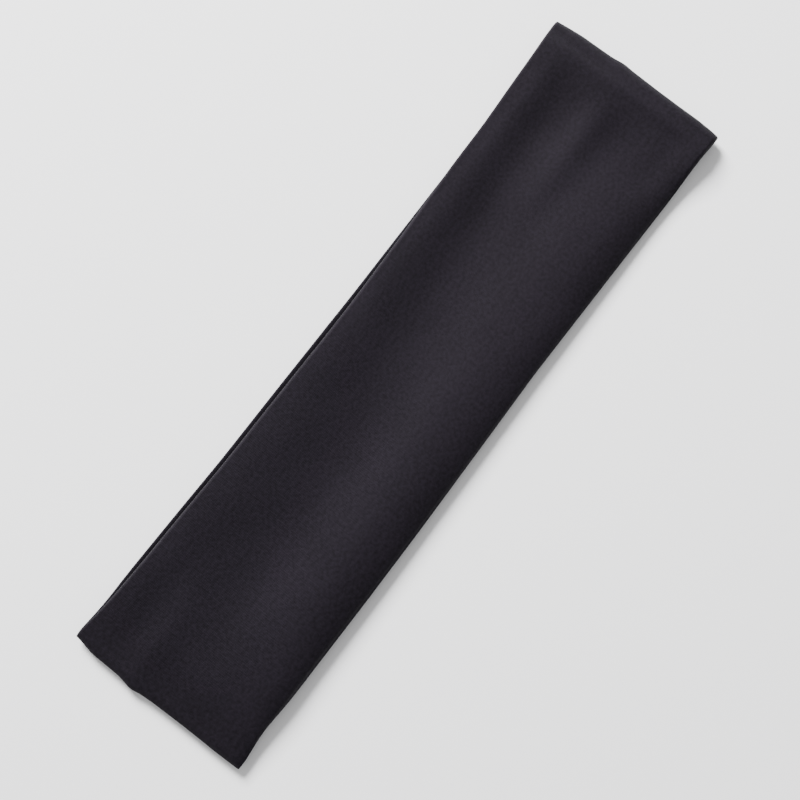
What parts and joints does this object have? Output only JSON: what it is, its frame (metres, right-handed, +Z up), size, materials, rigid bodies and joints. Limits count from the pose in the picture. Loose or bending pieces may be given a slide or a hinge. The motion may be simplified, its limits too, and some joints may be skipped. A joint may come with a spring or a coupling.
{
  "type": "sports headband",
  "caption": "Wide loop of doubled black stretch jersey, sewn from a seamed tube and laid flat; the flat loop opens into a round ring to go over the head.",
  "frame": {"origin": "on the surface that the flat loop lies on, below the middle of the band", "axes": "+X along the flat band, +Y across it, +Z up through both runs"},
  "size_m": [0.234, 0.06, 0.0049],
  "materials": {
    "cloth": "matte fine-knit jersey, black with a faint purple tint",
    "thread": "matte polyester sewing thread, black"
  },
  "bodies": {
    "lower_4": {"lower_4_outer_ply": "cloth", "lower_4_inner_ply": "cloth", "lower_4_long_seam": "thread", "back_seam_left_thread": "thread"},
    "lower_3": {"lower_3_outer_ply": "cloth", "lower_3_inner_ply": "cloth", "lower_3_long_seam": "thread"},
    "lower_2": {"lower_2_outer_ply": "cloth", "lower_2_inner_ply": "cloth", "lower_2_long_seam": "thread"},
    "lower_1": {"lower_1_outer_ply": "cloth", "lower_1_inner_ply": "cloth", "lower_1_long_seam": "thread", "left_fold_outer_ply": "cloth", "left_fold_inner_ply": "cloth"},
    "upper_1": {"upper_1_outer_ply": "cloth", "upper_1_inner_ply": "cloth", "upper_1_long_seam": "thread"},
    "upper_2": {"upper_2_outer_ply": "cloth", "upper_2_inner_ply": "cloth", "upper_2_long_seam": "thread"},
    "upper_3": {"upper_3_outer_ply": "cloth", "upper_3_inner_ply": "cloth", "upper_3_long_seam": "thread"},
    "upper_4": {"upper_4_outer_ply": "cloth", "upper_4_inner_ply": "cloth", "upper_4_long_seam": "thread"},
    "upper_5": {"upper_5_outer_ply": "cloth", "upper_5_inner_ply": "cloth", "upper_5_long_seam": "thread"},
    "upper_6": {"upper_6_outer_ply": "cloth", "upper_6_inner_ply": "cloth", "upper_6_long_seam": "thread"},
    "upper_7": {"upper_7_outer_ply": "cloth", "upper_7_inner_ply": "cloth", "upper_7_long_seam": "thread"},
    "upper_8": {"upper_8_outer_ply": "cloth", "upper_8_inner_ply": "cloth", "upper_8_long_seam": "thread"},
    "lower_8": {"lower_8_outer_ply": "cloth", "lower_8_inner_ply": "cloth", "lower_8_long_seam": "thread", "right_fold_outer_ply": "cloth", "right_fold_inner_ply": "cloth"},
    "lower_7": {"lower_7_outer_ply": "cloth", "lower_7_inner_ply": "cloth", "lower_7_long_seam": "thread"},
    "lower_6": {"lower_6_outer_ply": "cloth", "lower_6_inner_ply": "cloth", "lower_6_long_seam": "thread"},
    "lower_5": {"lower_5_outer_ply": "cloth", "lower_5_inner_ply": "cloth", "lower_5_long_seam": "thread", "back_seam_right_thread": "thread"}
  },
  "joints": [
    {"name": "lower_3_bend", "type": "hinge", "parent": "lower_4", "child": "lower_3", "pos_m": [-0.0286, 0, 0.0023], "axis": [0, 1, 0], "range_deg": [0, 22.5]},
    {"name": "lower_2_bend", "type": "hinge", "parent": "lower_3", "child": "lower_2", "pos_m": [-0.0572, 0, 0.0023], "axis": [0, 1, 0], "range_deg": [0, 22.5]},
    {"name": "lower_1_bend", "type": "hinge", "parent": "lower_2", "child": "lower_1", "pos_m": [-0.0858, 0, 0.0023], "axis": [0, 1, 0], "range_deg": [0, 22.5]},
    {"name": "left_fold_opening", "type": "hinge", "parent": "lower_1", "child": "upper_1", "pos_m": [-0.1144, 0, 0.00245], "axis": [0, -1, 0], "range_deg": [0, 157.5], "deforming": ["left_fold_outer_ply", "left_fold_inner_ply"]},
    {"name": "upper_2_bend", "type": "hinge", "parent": "upper_1", "child": "upper_2", "pos_m": [-0.0858, 0, 0.0026], "axis": [0, 1, 0], "range_deg": [0, 22.5]},
    {"name": "upper_3_bend", "type": "hinge", "parent": "upper_2", "child": "upper_3", "pos_m": [-0.0572, 0, 0.0026], "axis": [0, 1, 0], "range_deg": [0, 22.5]},
    {"name": "upper_4_bend", "type": "hinge", "parent": "upper_3", "child": "upper_4", "pos_m": [-0.0286, 0, 0.0026], "axis": [0, 1, 0], "range_deg": [0, 22.5]},
    {"name": "upper_5_bend", "type": "hinge", "parent": "upper_4", "child": "upper_5", "pos_m": [0, 0, 0.0026], "axis": [0, 1, 0], "range_deg": [0, 22.5]},
    {"name": "upper_6_bend", "type": "hinge", "parent": "upper_5", "child": "upper_6", "pos_m": [0.0286, 0, 0.0026], "axis": [0, 1, 0], "range_deg": [0, 22.5]},
    {"name": "upper_7_bend", "type": "hinge", "parent": "upper_6", "child": "upper_7", "pos_m": [0.0572, 0, 0.0026], "axis": [0, 1, 0], "range_deg": [0, 22.5]},
    {"name": "upper_8_bend", "type": "hinge", "parent": "upper_7", "child": "upper_8", "pos_m": [0.0858, 0, 0.0026], "axis": [0, 1, 0], "range_deg": [0, 22.5]},
    {"name": "right_fold_opening", "type": "hinge", "parent": "upper_8", "child": "lower_8", "pos_m": [0.1144, 0, 0.00245], "axis": [0, -1, 0], "range_deg": [0, 157.5], "deforming": ["right_fold_outer_ply", "right_fold_inner_ply"]},
    {"name": "lower_7_bend", "type": "hinge", "parent": "lower_8", "child": "lower_7", "pos_m": [0.0858, 0, 0.0023], "axis": [0, 1, 0], "range_deg": [0, 22.5]},
    {"name": "lower_6_bend", "type": "hinge", "parent": "lower_7", "child": "lower_6", "pos_m": [0.0572, 0, 0.0023], "axis": [0, 1, 0], "range_deg": [0, 22.5]},
    {"name": "lower_5_bend", "type": "hinge", "parent": "lower_6", "child": "lower_5", "pos_m": [0.0286, 0, 0.0023], "axis": [0, 1, 0], "range_deg": [0, 22.5]}
  ],
  "couplings": [
    {"joint": "lower_3_bend", "follows": "left_fold_opening", "ratio": 0.14286},
    {"joint": "lower_2_bend", "follows": "left_fold_opening", "ratio": 0.14286},
    {"joint": "lower_1_bend", "follows": "left_fold_opening", "ratio": 0.14286},
    {"joint": "upper_2_bend", "follows": "left_fold_opening", "ratio": 0.14286},
    {"joint": "upper_3_bend", "follows": "left_fold_opening", "ratio": 0.14286},
    {"joint": "upper_4_bend", "follows": "left_fold_opening", "ratio": 0.14286},
    {"joint": "upper_5_bend", "follows": "left_fold_opening", "ratio": 0.14286},
    {"joint": "upper_6_bend", "follows": "left_fold_opening", "ratio": 0.14286},
    {"joint": "upper_7_bend", "follows": "left_fold_opening", "ratio": 0.14286},
    {"joint": "upper_8_bend", "follows": "left_fold_opening", "ratio": 0.14286},
    {"joint": "right_fold_opening", "follows": "left_fold_opening", "ratio": 1},
    {"joint": "lower_7_bend", "follows": "left_fold_opening", "ratio": 0.14286},
    {"joint": "lower_6_bend", "follows": "left_fold_opening", "ratio": 0.14286},
    {"joint": "lower_5_bend", "follows": "left_fold_opening", "ratio": 0.14286}
  ]
}
